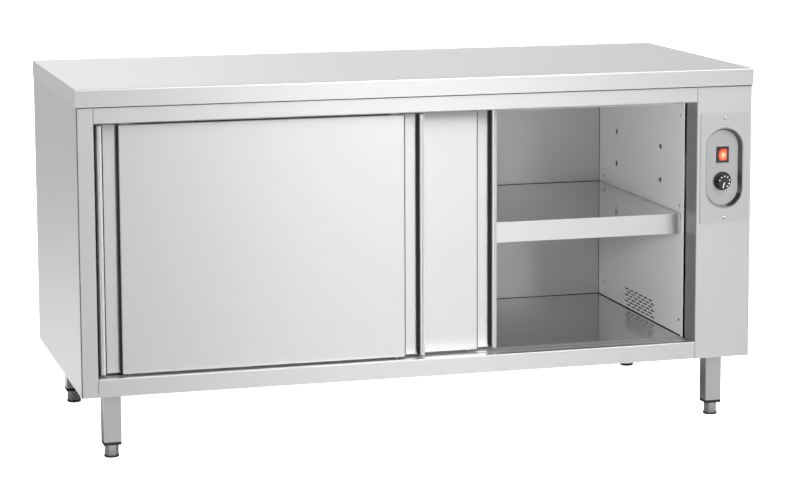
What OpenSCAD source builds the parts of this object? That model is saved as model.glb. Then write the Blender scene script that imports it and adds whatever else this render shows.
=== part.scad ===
// Plate warmer cabinet: a free-standing heated cupboard for plates.
// Millimetres, +Z up, front towards -Y, origin on the floor below the middle.

/* [Cabinet] */
// Width over the worktop
cabinet_w = 1600; // [1200:10:2000]
// Depth over the worktop
cabinet_d = 700; // [640:5:800]
// Height from the floor to the top of the worktop
cabinet_h = 840; // [800:5:900]
// Height of the underside of the body above the floor
leg_h = 150; // [130:1:180]
// Thickness of the body sheet
sheet = 1.2; // [0.8:0.1:2]

/* [Worktop] */
// Height of the folded worktop edge
worktop_h = 40; // [30:1:60]
// Thickness of the worktop sheet
worktop_sheet = 1.5; // [1:0.1:3]
// Radius of the long worktop edges
worktop_edge_r = 3; // [2:0.5:6]
// Worktop beyond each side of the body
side_overhang = 2; // [0:0.5:10]
// Worktop in front of the body
front_overhang = 5; // [2:0.5:20]

/* [Front frame] */
// Width of the left stile
stile_w = 38; // [30:1:60]
// Width of the control column on the right
column_w = 138; // [125:1:180]
// Height of the rail over the doors
top_rail_h = 38; // [34:1:50]
// Height of the rail under the doors
bottom_rail_h = 41; // [36:1:60]
// Outside radius of the folded frame corners
bend_r = 2.5; // [2:0.1:5]
// Depth of the jambs beside the doors
jamb_depth = 65; // [62:1:75]
// Depth of the returns folded back from the rails
rail_return = 12; // [8:1:14]
// Width of the flanges that carry the worktop
top_flange = 15; // [10:1:25]

/* [Inner lining] */
// Inner wall inside the line of the jambs
liner_step = 5; // [3:0.5:8]
// Shadow gap between jamb and inner wall
liner_gap = 3; // [2:0.5:6]
// From the back of the cabinet to the inner back wall
back_space = 37; // [25:1:60]
// Deck below the top of the bottom rail
deck_drop = 1; // [0.5:0.5:3]
// Ceiling below the top of the door opening
ceiling_drop = 12; // [8:1:16]
// Front edge of deck and ceiling behind the back face of the rear door
liner_setback = 4; // [3:0.5:10]

/* [Shelf] */
// Top of the shelf above the deck
shelf_rise = 297; // [200:1:400]
// Height of the folded front edge of the shelf
shelf_lip = 48; // [30:1:60]
// Height of the folded side edges of the shelf
shelf_side_lip = 20; // [12:1:28]
// Gap between shelf and inner walls
shelf_gap = 3; // [2:0.5:6]
// Gap between the rear door and the front edge of the shelf
shelf_setback = 7; // [5:0.5:20]
// Width across an air hole in the shelf
air_hole_d = 5; // [3:0.5:8]
// Spacing of the air holes along a row
air_hole_pitch = 57; // [40:1:90]
// Distance between the two rows of a staggered pair
air_row_gap = 16; // [12:1:30]
// Pairs of rows from the front and back edges of the shelf
air_row_inset = 36; // [25:1:60]

/* [Shelf pegs] */
// Radius of a shelf peg
peg_r = 4; // [3:0.5:5]
// How far a peg stands into the cabinet
peg_reach = 14; // [10:1:20]
// Front pegs in front of the middle of the cabinet
peg_front = 252; // [200:1:253]
// Back pegs behind the middle of the cabinet
peg_back = 273; // [200:1:285]
// Radius of the spare peg holes
peg_hole_r = 4.2; // [3.2:0.1:5.5]
// Heights of the spare peg holes above the deck
peg_hole_rise = [38, 315, 532];

/* [Doors] */
// Thickness of a door
door_t = 28; // [24:0.5:30]
// Face of the front door behind the frame
door_setback = 17; // [15:0.5:20]
// Gap between the two doors
door_gap = 3; // [2:0.5:5]
// Gap between a closed door and its jamb
door_end_gap = 9; // [8:0.5:15]
// How far the closed doors overlap
door_overlap = 100; // [60:1:140]
// Gap over and under a door
door_edge_gap = 6; // [5:0.5:9]
// Rear door slid open to the left by
rear_door_open = 468; // [0:1:600]
// Thickness of the door sheet
door_sheet = 1; // [0.8:0.1:1.5]
// Radius of the upright door edges
door_edge_r = 2; // [1.5:0.1:3]

/* [Door handles] */
// Width of the handle at each end of a door
handle_w = 48; // [40:1:60]
// Width of the rounded handle lip
lip_w = 11; // [9:0.5:16]
// Depth of the finger recess
recess_depth = 20; // [15:0.5:21]
// Thickness of the black grip strips
grip_t = 2.5; // [1.5:0.1:4]
// Grip strips below the face of the door
grip_inset = 3; // [1:0.5:5]

/* [Running gear] */
// Radius of a door roller
roller_r = 10; // [8:0.5:11]
// Width of a door roller
roller_w = 7; // [5:0.5:8]
// Radius of a roller axle
axle_r = 3; // [2:0.1:4]
// Running clearance round axles and shafts
fit_gap = 0.05; // [0.02:0.01:0.1]
// Gap under a roller at rest
rest_gap = 0.3; // [0.2:0.05:0.5]
// Thickness of the track profile
track_t = 2; // [1.5:0.1:2.5]
// Width of the ledge that a roller runs on
track_ledge = 10; // [9:0.5:11]
// Ledge above the top of the doors
track_rise = 16; // [12:0.5:17]
// Width of a door hanger
hanger_w = 26; // [20:1:40]
// Thickness of a door hanger
hanger_t = 2.5; // [2:0.1:3]
// Middle of a hanger from the end of its door
hanger_inset = 66; // [60:1:90]
// Radius of a guide pin under a door
guide_pin_r = 3; // [2:0.1:4]
// Play of a guide pin in its groove
guide_play = 0.5; // [0.3:0.1:1]
// Depth of a guide groove
guide_depth = 9; // [7:0.5:10]

/* [Control plate] */
// Width of the control plate
plate_w = 122; // [110:1:126]
// Height of the control plate
plate_l = 261; // [230:1:300]
// Thickness of the control plate
plate_t = 1.5; // [1:0.1:2.5]
// Corner radius of the control plate
plate_r = 4; // [2:0.5:10]
// Middle of the control plate below the worktop
plate_drop = 195.5; // [180:0.5:240]
// Width of the pressed dish
dish_w = 93; // [84:1:100]
// Height of the pressed dish
dish_l = 193; // [170:1:210]
// Depth of the pressed dish
dish_depth = 12; // [10:0.5:14]
// How far the dish walls lean in
dish_draft = 6; // [3:0.5:9]
// Screws from the top and bottom edges of the plate
plate_screw_inset = 12; // [9:0.5:15]
// Radius of a plate screw head
screw_head_r = 4; // [3:0.5:5]
// Radius of a plate screw
screw_r = 2; // [1.5:0.1:2.5]

/* [Switch and knob] */
// Switch above the middle of the dish
switch_rise = 31; // [26:1:50]
// Width of the switch frame
switch_w = 30; // [24:1:40]
// Height of the switch frame
switch_l = 38; // [30:1:46]
// Width of the frame round the rocker
switch_rim = 3; // [2:0.5:5]
// Height of the switch frame above the dish floor
switch_rim_h = 3; // [2:0.5:4]
// Depth of the switch behind the dish floor
switch_depth = 30; // [20:1:40]
// Wall of the switch case beside the rocker
case_wall = 1.2; // [1:0.1:2]
// Tilt of the rocker each way
rocker_tilt = 8; // [4:1:12]
// Radius of the pins that the rocker tilts on
pivot_r = 1.2; // [1:0.1:1.5]
// Knob below the middle of the dish
knob_drop = 32; // [28:1:50]
// Radius of the knob skirt
knob_r = 22; // [18:0.5:26]
// Height of the knob
knob_h = 16; // [10:0.5:18]
// Radius of the knob grip
knob_grip_r = 17; // [12:0.5:20]
// Radius of the knob shaft
knob_shaft_r = 3; // [2.5:0.1:4]
// Reach of the knob shaft into the thermostat
knob_shaft_l = 16; // [12:1:22]
// Radius of the thermostat case
thermostat_r = 21; // [16:1:26]
// Depth of the thermostat case
thermostat_depth = 32; // [24:1:45]

/* [Warm air outlet] */
// Length of an outlet slot
slot_l = 25; // [15:1:30]
// Height of an outlet slot
slot_h = 3.5; // [2:0.5:5]
// Spacing of the slots along a row
slot_pitch = 33; // [28:1:40]
// Spacing of the rows
slot_row_pitch = 8; // [6:0.5:10]
// Slots in a row
slot_count = 6; // [3:1:7]
// Rows of slots
slot_rows = 6; // [3:1:7]
// Lowest row above the deck
slot_rise = 8; // [6:1:20]
// Middle of the outlet behind the middle of the cabinet
outlet_y = 10; // [-40:1:40]

/* [Heater and fan] */
// Width of the heater box along the wall
heater_w = 236; // [220:2:260]
// Height of the heater box
heater_h = 150; // [135:1:170]
// Depth of the heater box behind the wall
heater_d = 84; // [80:1:90]
// Radius of the heating element rod
element_r = 4; // [3:0.5:5]
// Spacing of the element's passes
element_pitch = 26; // [20:1:30]
// Passes of the element
element_passes = 4; // [2:2:4]
// Distance from the outlet slots to the element
element_inset = 16; // [14:1:18]
// Free length at each end of the element's passes
element_end = 34; // [30:1:45]
// Radius of the fan wheel
fan_r = 55; // [40:1:60]
// Width of the fan wheel
fan_w = 34; // [24:1:40]
// Distance from the outlet slots to the fan wheel
fan_inset = 34; // [32:1:36]
// Blades on the fan wheel
fan_blades = 14; // [8:1:20]
// Radius of the fan shaft
shaft_r = 4; // [3:0.1:5]
// Radius of the fan motor
motor_r = 36; // [28:1:40]
// Length of the fan motor
motor_l = 45; // [35:1:52]

/* [Mains inlet] */
// Radius of the cable passage
gland_bore_r = 5; // [3:0.5:8]
// Radius of the gland body
gland_r = 10; // [9:0.5:14]
// Height of the gland above the underside of the body
gland_rise = 60; // [40:1:120]

/* [Legs] */
// Middle of a leg from the end of the worktop
leg_end_inset = 75; // [70:1:300]
// Middle of a leg from the front and back of the worktop
leg_side_inset = 63; // [60:1:110]
// Width of a leg tube
leg_w = 40; // [30:1:50]
// Wall of a leg tube
leg_wall = 2; // [1.5:0.1:3]
// Height of the cap seen under a leg tube
cap_h = 7; // [4:0.5:10]
// Length of the cap inside the tube
cap_plug = 24; // [15:1:30]
// Width across the corners of a foot
foot_d = 32; // [24:1:38]
// Height of the hexagonal foot
foot_h = 25; // [15:1:30]
// Radius of the foot's threaded stem
stem_r = 5; // [4:0.1:8]
// Length of the foot's threaded stem
stem_l = 62; // [50:1:70]
// Radius of the pad under a foot
pad_r = 17; // [14:0.5:22]
// Thickness of the pad under a foot
pad_t = 5; // [3:0.5:8]

/* [Hidden] */
eps = 0.01;
round_fn = 48;
bend_fn = 32;

steel = [0.80, 0.81, 0.82];
liner_grey = [0.62, 0.63, 0.64];
black = [0.06, 0.06, 0.06];
red = [0.85, 0.16, 0.08];
wool = [0.85, 0.80, 0.62];

// Outer planes of the body
body_x = cabinet_w / 2 - side_overhang;
face_y = -cabinet_d / 2 + front_overhang;
back_y = cabinet_d / 2;
body_z0 = leg_h;
body_z1 = cabinet_h - worktop_h;
// Planes just inside the body sheet
in_x = body_x - sheet;
in_y0 = face_y + sheet;
in_y1 = back_y - sheet;
in_z0 = body_z0 + sheet;
in_z1 = body_z1 - sheet;
// Edges of the door opening
open_l = -body_x + stile_w;
open_r = body_x - column_w;
open_b = body_z0 + bottom_rail_h;
open_t = body_z1 - top_rail_h;
// Doors
door_y = face_y + door_setback;
lane = door_t + door_gap;
doors_back_y = door_y + lane + door_t;
door_w = (open_r - open_l - 2 * door_end_gap + door_overlap) / 2;
door_z0 = open_b + door_edge_gap - deck_drop;
door_z1 = open_t - door_edge_gap;
door_h = door_z1 - door_z0;
front_door_x = open_l + door_end_gap;
rear_door_x = open_r - door_end_gap - door_w - rear_door_open;
// Inner space
jamb_y = face_y + jamb_depth;
wall_y0 = jamb_y + liner_gap;
wall_l = open_l + liner_step;
wall_r = open_r - liner_step;
wall_back = back_y - back_space;
deck_z = open_b - deck_drop;
ceiling_z = open_t - ceiling_drop;
liner_y0 = doors_back_y + liner_setback;
// Shelf
shelf_z = deck_z + shelf_rise;
shelf_y0 = doors_back_y + shelf_setback;
shelf_x0 = wall_l + shelf_gap;
shelf_x1 = wall_r - shelf_gap;
shelf_y1 = wall_back - shelf_gap;
peg_ys = [-peg_front, peg_back];
peg_z = shelf_z - shelf_side_lip - rest_gap - peg_r;
// Running gear
lane_mid = door_y + door_t / 2;
ledge_z = door_z1 + track_rise;
axle_z = ledge_z + rest_gap + roller_r;
hanger_y = lane_mid - hanger_t / 2;
ledge_y1 = hanger_y - 2;
ledge_y0 = ledge_y1 - track_ledge;
roller_y = (ledge_y0 + ledge_y1 - roller_w) / 2;
hanger_top = axle_z + axle_r + 6;
groove_w = 2 * (guide_pin_r + guide_play);
guide_pin_z = deck_z - guide_depth + 3 * guide_play;
bottom_track_y0 = in_y0 + rail_return + 1;
// Control plate
plate_x = (open_r + body_x) / 2 + 1;
plate_z = body_z1 - plate_drop;
dish_r = dish_w / 2;
dish_half = (dish_l - dish_w) / 2;
dish_floor_y = face_y + dish_depth;
switch_z = plate_z + switch_rise;
knob_z = plate_z - knob_drop;
knob_gap = 0.5;
rocker_gap = 0.5;
case_w = switch_w - 2 * switch_rim;
case_l = switch_l - 2 * switch_rim;
rocker_w = case_w - 2 * case_wall - rocker_gap;
rocker_l = case_l - 2 * case_wall - rocker_gap;
pivot_reach = rocker_w / 2 + rocker_gap / 2 + 0.7 * case_wall;
rocker_y = dish_floor_y - switch_rim_h + 1;
// Heater and fan
heater_x = wall_r + sheet;
heater_z0 = deck_z - sheet;
heater_y0 = outlet_y - heater_w / 2;
element_x = heater_x + element_inset;
element_z = heater_z0 + heater_h / 2 - (element_passes - 1) * element_pitch / 2;
element_run = heater_w - 2 * element_end;
fan_x = heater_x + fan_inset;
fan_z = heater_z0 + heater_h / 2;
motor_x = heater_x + heater_d;
gland_x = plate_x;
gland_z = body_z0 + gland_rise;
// Legs
leg_x = cabinet_w / 2 - leg_end_inset;
leg_y = cabinet_d / 2 - leg_side_inset;
tube_z0 = pad_t + foot_h + cap_h;

// A block between two opposite corners
module block(lo, hi) translate(lo) cube(hi - lo);

// A rectangle from the origin with round corners
module round_rect(size, r) {
    translate([r, 0]) square([size.x - 2 * r, size.y]);
    translate([0, r]) square([size.x, size.y - 2 * r]);
    for (x = [r, size.x - r], y = [r, size.y - r]) translate([x, y]) circle(r, $fn = bend_fn);
}

// A folded strip: one leg along +X, one along +Y, with a round outside corner at the origin
module folded_corner(leg_a, leg_b, t, r) {
    translate([r, 0]) square([leg_a - r, t]);
    translate([0, r]) square([t, leg_b - r]);
    intersection() {
        translate([r, r]) difference() {
            circle(r, $fn = bend_fn);
            circle(r - t, $fn = bend_fn);
        }
        square(r);
    }
}

// A profile in the X and Y plane raised between two heights
module upright(z0, z1) translate([0, 0, z0]) linear_extrude(z1 - z0) children();

// A profile drawn as Y and Z, run along X between two places
module along_x(x0, x1) translate([x0, 0, 0]) rotate([90, 0, 90]) linear_extrude(x1 - x0) children();

// A round rod along X, along Y or along Z, from its lower end
module rod_x(r, l) rotate([0, 90, 0]) cylinder(r = r, h = l, $fn = round_fn);
module rod_y(r, l) rotate([-90, 0, 0]) cylinder(r = r, h = l, $fn = round_fn);

// Outline of the worktop seen from its end, drawn in by a wall
module worktop_section(inset) {
    r = worktop_edge_r - inset * 0.5;
    d = cabinet_d - 2 * inset;
    h = worktop_h - inset;
    translate([-d / 2, 0]) {
        square([d, h - r]);
        translate([r, 0]) square([d - 2 * r, h]);
        for (y = [r, d - r]) translate([y, h - r]) circle(r, $fn = bend_fn);
    }
}

module worktop() color(steel) difference() {
    translate([0, 0, body_z1]) along_x(-cabinet_w / 2, cabinet_w / 2) worktop_section(0);
    translate([0, 0, body_z1 - eps])
        along_x(-cabinet_w / 2 + worktop_sheet, cabinet_w / 2 - worktop_sheet)
            worktop_section(worktop_sheet);
}

module worktop_core() color([0.72, 0.58, 0.40])
    translate([0, 0, body_z1])
        along_x(-cabinet_w / 2 + worktop_sheet, cabinet_w / 2 - worktop_sheet)
            intersection() {
                translate([0, -eps]) worktop_section(worktop_sheet);
                translate([-cabinet_d / 2, 0]) square([cabinet_d, worktop_h]);
            }

// A side of the body with the flange that carries the worktop; side is -1 for left, 1 for right
module side_panel(side) color(steel) mirror([side < 0 ? 1 : 0, 0, 0]) {
    block([in_x, in_y0, body_z0], [body_x, in_y1, body_z1]);
    block([in_x - top_flange, in_y0 + jamb_depth, in_z1], [in_x, in_y1, body_z1]);
}

// Louvre slots let the warm electrics breathe through the back
module rear_panel() {
    vent_l = 60;
    vent_h = 5;
    vent_pitch = 14;
    vent_rows = 8;
    color(steel) difference() {
        block([-body_x, in_y1, body_z0], [body_x, back_y, body_z1]);
        for (i = [0 : vent_rows - 1])
            translate([plate_x - vent_l / 2, in_y1 - eps, body_z0 + bottom_rail_h + 260 + i * vent_pitch])
                cube([vent_l, sheet + 2 * eps, vent_h]);
        translate([gland_x, in_y1 - eps, gland_z]) rod_y(gland_r, sheet + 2 * eps);
    }
}

// The underside, with upturned edges and an air intake under the fan
module base_pan() {
    edge_h = 20;
    vent_l = 70;
    vent_w = 5;
    vent_pitch = 14;
    vent_count = 9;
    color(steel) difference() {
        union() {
            block([-in_x, in_y0, body_z0], [in_x, in_y1, in_z0]);
            for (s = [-1, 1]) {
                x = s < 0 ? -in_x : in_x - sheet;
                block([x, in_y0 + jamb_depth, in_z0], [x + sheet, in_y1, in_z0 + edge_h]);
            }
            block([-in_x, in_y1 - sheet, in_z0], [in_x, in_y1, in_z0 + edge_h]);
        }
        for (x = [open_l - sheet, open_r])
            block([x, in_y0 - eps, body_z0 - eps], [x + sheet, jamb_y, in_z0 + eps]);
        for (x = [open_l - bend_r, open_r])
            block([x, in_y0 - eps, body_z0 - eps], [x + bend_r, face_y + bend_r, in_z0 + eps]);
        for (i = [0 : vent_count - 1])
            translate([plate_x - vent_l / 2, outlet_y + (i - (vent_count - 1) / 2) * vent_pitch - vent_w / 2,
                       body_z0 - eps])
                cube([vent_l, vent_w, sheet + 2 * eps]);
    }
}

module front_stile() color(steel) upright(body_z0, body_z1)
    translate([open_l, face_y]) mirror([1, 0]) folded_corner(stile_w, jamb_depth, sheet, bend_r);

module control_column() color(steel) difference() {
    upright(body_z0, body_z1)
        translate([open_r, face_y]) folded_corner(column_w, jamb_depth, sheet, bend_r);
    translate([plate_x, face_y - eps, plate_z]) dish_solid(dish_r, 0, sheet + 2 * eps);
    for (s = [-1, 1])
        translate([plate_x, face_y - eps, plate_z + s * (plate_l / 2 - plate_screw_inset)])
            rod_y(screw_r + fit_gap, sheet + 2 * eps);
}

module top_rail() color(steel) along_x(open_l, open_r) {
    translate([face_y, open_t]) folded_corner(rail_return, top_rail_h, sheet, bend_r);
    translate([in_y0, in_z1]) square([rail_return - sheet, sheet]);
}

module bottom_rail() color(steel) along_x(open_l, open_r) {
    translate([face_y, open_b]) mirror([0, 1]) folded_corner(rail_return, bottom_rail_h, sheet, bend_r);
}

// Spare holes for the shelf pegs, through an inner wall that starts at x
module peg_holes(x) for (y = peg_ys, rise = peg_hole_rise)
    translate([x - eps, y, deck_z + rise]) rod_x(peg_hole_r, sheet + 2 * eps);

module inner_wall_left() color(liner_grey) difference() {
    block([wall_l - sheet, wall_y0, in_z0], [wall_l, wall_back, in_z1]);
    peg_holes(wall_l - sheet);
    for (y = peg_ys) translate([wall_l - sheet - eps, y, peg_z]) rod_x(peg_r, sheet + 2 * eps);
}

module inner_wall_right() color(liner_grey) difference() {
    block([wall_r, wall_y0, in_z0], [wall_r + sheet, wall_back, in_z1]);
    peg_holes(wall_r);
    for (y = peg_ys) translate([wall_r - eps, y, peg_z]) rod_x(peg_r, sheet + 2 * eps);
    outlet_slots();
}

// Staggered rows of slots that let the warm air into the cabinet
module outlet_slots() {
    for (row = [0 : slot_rows - 1], i = [0 : slot_count - 1]) {
        shift = (row % 2) * slot_pitch / 2;
        y = outlet_y + (i - slot_count / 2) * slot_pitch + shift;
        translate([wall_r - eps, y, deck_z + slot_rise + row * slot_row_pitch])
            cube([sheet + 2 * eps, slot_l, slot_h]);
    }
}

module inner_wall_back() color(liner_grey)
    block([wall_l - sheet, wall_back, in_z0], [wall_r + sheet, wall_back + sheet, in_z1]);

module ceiling() color(liner_grey)
    block([wall_l, liner_y0, ceiling_z], [wall_r, wall_back, ceiling_z + sheet]);

module deck() color(liner_grey) {
    block([wall_l, liner_y0, deck_z - sheet], [wall_r, wall_back, deck_z]);
    block([wall_l, liner_y0, in_z0], [wall_r, liner_y0 + sheet, deck_z - sheet]);
}

// Mineral wool slabs to the left, behind, above and below the warm space
module insulation() color(wool) {
    block([-in_x + sheet, wall_y0, in_z0], [wall_l - sheet, wall_back, in_z1]);
    block([wall_l - sheet, wall_back + sheet, in_z0], [wall_r + sheet, in_y1 - sheet, in_z1]);
    block([wall_l, liner_y0, ceiling_z + sheet], [wall_r, wall_back, in_z1]);
    block([wall_l, liner_y0 + sheet, in_z0], [wall_r, wall_back, deck_z - sheet]);
}

// One straight row of air holes across the shelf, moved along by a shift
module air_row(y, shift) {
    count = floor((shelf_x1 - shelf_x0 - 2 * air_hole_pitch) / air_hole_pitch);
    for (i = [0 : count - 1])
        translate([(shelf_x0 + shelf_x1) / 2 + (i - (count - 1) / 2) * air_hole_pitch + shift, y,
                   shelf_z - sheet - eps])
            cylinder(d = air_hole_d, h = sheet + 2 * eps, $fn = 6);
}

module shelf() color(liner_grey) difference() {
    union() {
        block([shelf_x0, shelf_y0, shelf_z - sheet], [shelf_x1, shelf_y1, shelf_z]);
        block([shelf_x0, shelf_y0, shelf_z - shelf_lip], [shelf_x1, shelf_y0 + sheet, shelf_z]);
        block([shelf_x0, shelf_y1 - sheet, shelf_z - shelf_side_lip], [shelf_x1, shelf_y1, shelf_z]);
        for (x = [shelf_x0, shelf_x1 - sheet])
            block([x, shelf_y0, shelf_z - shelf_side_lip], [x + sheet, shelf_y1, shelf_z]);
    }
    for (y = [shelf_y0 + air_row_inset, shelf_y1 - air_row_inset - air_row_gap]) {
        air_row(y, air_hole_pitch / 4);
        air_row(y + air_row_gap, -air_hole_pitch / 4);
    }
}

// Four pegs under the folded side edges of the shelf, each with a collar against its wall
module shelf_pegs() {
    collar_r = peg_r + 2;
    collar_t = 1.5;
    color(steel) for (s = [-1, 1], y = peg_ys) {
        wall = s < 0 ? wall_l : wall_r;
        translate([s < 0 ? wall - sheet : wall - peg_reach, y, peg_z]) rod_x(peg_r, peg_reach + sheet);
        translate([s < 0 ? wall : wall - collar_t, y, peg_z]) rod_x(collar_r, collar_t);
    }
}

// The profile of one lane of the top track: a web and the ledge that the rollers run on
module lane_profile(y) translate([y, 0]) {
    translate([ledge_y0 - track_t, ledge_z - track_t]) square([track_t, in_z1 - ledge_z + track_t]);
    translate([ledge_y0 - track_t, ledge_z - track_t]) square([track_ledge + track_t, track_t]);
}

module door_track() color([0.70, 0.71, 0.72]) along_x(wall_l, wall_r) {
    lane_profile(0);
    lane_profile(lane);
    translate([ledge_y0 - track_t, body_z1 - track_t]) square([lane + door_t, track_t]);
    for (y = [0, lane]) translate([y + ledge_y0 - track_t, ledge_z]) square([track_t, body_z1 - ledge_z]);
}

module bottom_track() color([0.70, 0.71, 0.72]) difference() {
    block([wall_l, bottom_track_y0, in_z0], [wall_r, liner_y0, deck_z]);
    for (y = [0, lane])
        block([wall_l - eps, lane_mid + y - groove_w / 2, deck_z - guide_depth],
              [wall_r + eps, lane_mid + y + groove_w / 2, deck_z + eps]);
    block([wall_l - eps, bottom_track_y0 + track_t, in_z0 - eps],
          [wall_r + eps, liner_y0 - track_t, deck_z - guide_depth - track_t]);
}

// The folded door panel between its two handles, hollow for its core
module door_panel(at) color(steel) translate(at) difference() {
    upright(door_z0, door_z1) translate([handle_w, 0])
        round_rect([door_w - 2 * handle_w, door_t], door_edge_r);
    block([handle_w + door_sheet, door_sheet, door_z0 + door_sheet],
          [door_w - handle_w - door_sheet, door_t - door_sheet, door_z1 - door_sheet]);
}

module door_core(at) color(wool) translate(at)
    block([handle_w + door_sheet, door_sheet, door_z0 + door_sheet],
          [door_w - handle_w - door_sheet, door_t - door_sheet, door_z1 - door_sheet]);

// Plan outline of a handle from the end of its door: a round lip and the floor of the finger recess
module handle_outline(inset) {
    w = lip_w - 2 * inset;
    r = w / 2;
    translate([inset, inset]) {
        translate([0, r]) square([w, door_t - 2 * inset - r]);
        translate([r, r]) circle(r, $fn = bend_fn);
    }
    translate([inset, recess_depth + inset])
        square([handle_w - 2 * inset, door_t - recess_depth - 2 * inset]);
}

module door_handle() difference() {
    upright(door_z0, door_z1) handle_outline(0);
    upright(door_z0 + door_sheet, door_z1 - door_sheet) handle_outline(door_sheet);
}

module handle_left(at) color(steel) translate(at) door_handle();

module handle_right(at) color(steel) translate(at) translate([door_w, 0, 0]) mirror([1, 0, 0]) door_handle();

// Black strips on both sides of each finger recess
module door_grips(at) color(black) translate(at)
    for (m = [0, 1]) translate([m * door_w, 0, 0]) mirror([m, 0, 0])
        for (x = [lip_w, handle_w - grip_t])
            block([x, grip_inset + lip_w / 4, door_z0 + door_sheet],
                  [x + grip_t, recess_depth, door_z1 - door_sheet]);

// Hangers with their axles on top of a door, and guide pins under it
module door_hangers(at) color(steel) translate(at) {
    y = hanger_y - door_y;
    axle_y0 = roller_y - door_y;
    foot_d = door_t / 2 - 2;
    pin_head_t = 1;
    for (x = [hanger_inset, door_w - hanger_inset]) {
        block([x - hanger_w / 2, y, door_z1], [x + hanger_w / 2, y + hanger_t, hanger_top]);
        block([x - hanger_w / 2, y, door_z1], [x + hanger_w / 2, y + foot_d, door_z1 + hanger_t]);
        translate([x, axle_y0 - rest_gap, axle_z]) rod_y(axle_r, y - axle_y0 + rest_gap);
        translate([x, axle_y0 - rest_gap - pin_head_t, axle_z]) rod_y(axle_r + 1.5, pin_head_t);
        translate([x, door_t / 2, guide_pin_z])
            cylinder(r = guide_pin_r, h = door_z0 - guide_pin_z, $fn = round_fn);
    }
}

// A roller with a chamfered tread, on its axle
module door_roller(at, x) {
    tread_edge = 1;
    color([0.93, 0.93, 0.90]) translate([at.x + x, at.y + roller_y - door_y, axle_z])
        rotate([-90, 0, 0]) rotate_extrude($fn = round_fn)
            polygon([[axle_r + fit_gap, 0], [roller_r - tread_edge, 0], [roller_r, tread_edge],
                     [roller_r, roller_w - tread_edge], [roller_r - tread_edge, roller_w],
                     [axle_r + fit_gap, roller_w]]);
}

// An oval that narrows by a draft as it goes back from the plane y = 0
module dish_solid(r, draft, depth) rotate([-90, 0, 0]) {
    for (s = [-1, 1]) translate([0, s * dish_half, 0])
        cylinder(r1 = r, r2 = r - draft, h = depth, $fn = round_fn);
    translate([0, -dish_half, 0]) rotate([-90, 0, 0]) linear_extrude(2 * dish_half)
        polygon([[-r, 0], [r, 0], [r - draft, -depth], [-(r - draft), -depth]]);
}

// The control plate with the pressed dish that holds the switch and the knob
module control_plate() color(steel) translate([plate_x, 0, plate_z]) difference() {
    union() {
        translate([-plate_w / 2, face_y, -plate_l / 2]) rotate([90, 0, 0])
            linear_extrude(plate_t) round_rect([plate_w, plate_l], plate_r);
        translate([0, face_y, 0]) dish_solid(dish_r - fit_gap, dish_draft, dish_depth + sheet);
    }
    translate([0, face_y - plate_t - eps, 0])
        dish_solid(dish_r - plate_t, dish_draft, dish_depth + plate_t + eps);
    translate([-case_w / 2, dish_floor_y - eps, switch_z - plate_z - case_l / 2])
        cube([case_w, 4 * sheet, case_l]);
    translate([0, dish_floor_y - eps, knob_z - plate_z]) rod_y(knob_shaft_r + 1, 4 * sheet);
    for (s = [-1, 1])
        translate([0, face_y - plate_t - eps, s * (plate_l / 2 - plate_screw_inset)])
            rod_y(screw_r + fit_gap, plate_t + 2 * eps);
}

// Two domed screws hold the control plate
module plate_screws() {
    head_h = 2;
    screw_l = 10;
    color(steel) for (s = [-1, 1])
        translate([plate_x, face_y - plate_t, plate_z + s * (plate_l / 2 - plate_screw_inset)]) {
            rod_y(screw_r, screw_l);
            rotate([90, 0, 0]) rotate_extrude($fn = bend_fn)
                polygon([[0, 0], [screw_head_r, 0], [screw_head_r * 0.9, head_h * 0.6],
                         [screw_head_r * 0.55, head_h], [0, head_h]]);
        }
}

// The switch: a frame on the dish floor and a case behind it, open for the rocker
module switch_body() color(black) translate([plate_x, dish_floor_y, switch_z]) difference() {
    union() {
        translate([-switch_w / 2, -switch_rim_h, -switch_l / 2]) cube([switch_w, switch_rim_h, switch_l]);
        translate([-case_w / 2 + fit_gap, -eps, -case_l / 2 + fit_gap])
            cube([case_w - 2 * fit_gap, switch_depth, case_l - 2 * fit_gap]);
    }
    translate([-rocker_w / 2 - rocker_gap / 2, -switch_rim_h - eps, -rocker_l / 2 - rocker_gap / 2])
        cube([rocker_w + rocker_gap, switch_rim_h + 10, rocker_l + rocker_gap]);
    translate([-pivot_reach - fit_gap, 0, 0]) rod_x(pivot_r + fit_gap, 2 * (pivot_reach + fit_gap));
}

// The lit rocker, tilted on two pins that turn in the case, with a hollow face
module switch_rocker() {
    t = 5;
    rise = tan(rocker_tilt) * rocker_l / 2;
    color(red) translate([plate_x, rocker_y, switch_z]) {
        translate([-rocker_w / 2 + fit_gap, 0, 0])
            rotate([90, 0, 90]) linear_extrude(rocker_w - 2 * fit_gap)
                polygon([[0, -rocker_l / 2 + rocker_gap], [t, -rocker_l / 2 + 2 * rocker_gap],
                         [t, rocker_l / 2 - 2 * rocker_gap], [0, rocker_l / 2 - rocker_gap],
                         [-rise, rocker_l / 2 - 2 * rocker_gap], [0.4, 0],
                         [-rise / 2, -rocker_l / 2 + rocker_gap]]);
        translate([-pivot_reach, switch_rim_h - 1, 0]) rod_x(pivot_r, 2 * pivot_reach);
    }
}

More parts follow.
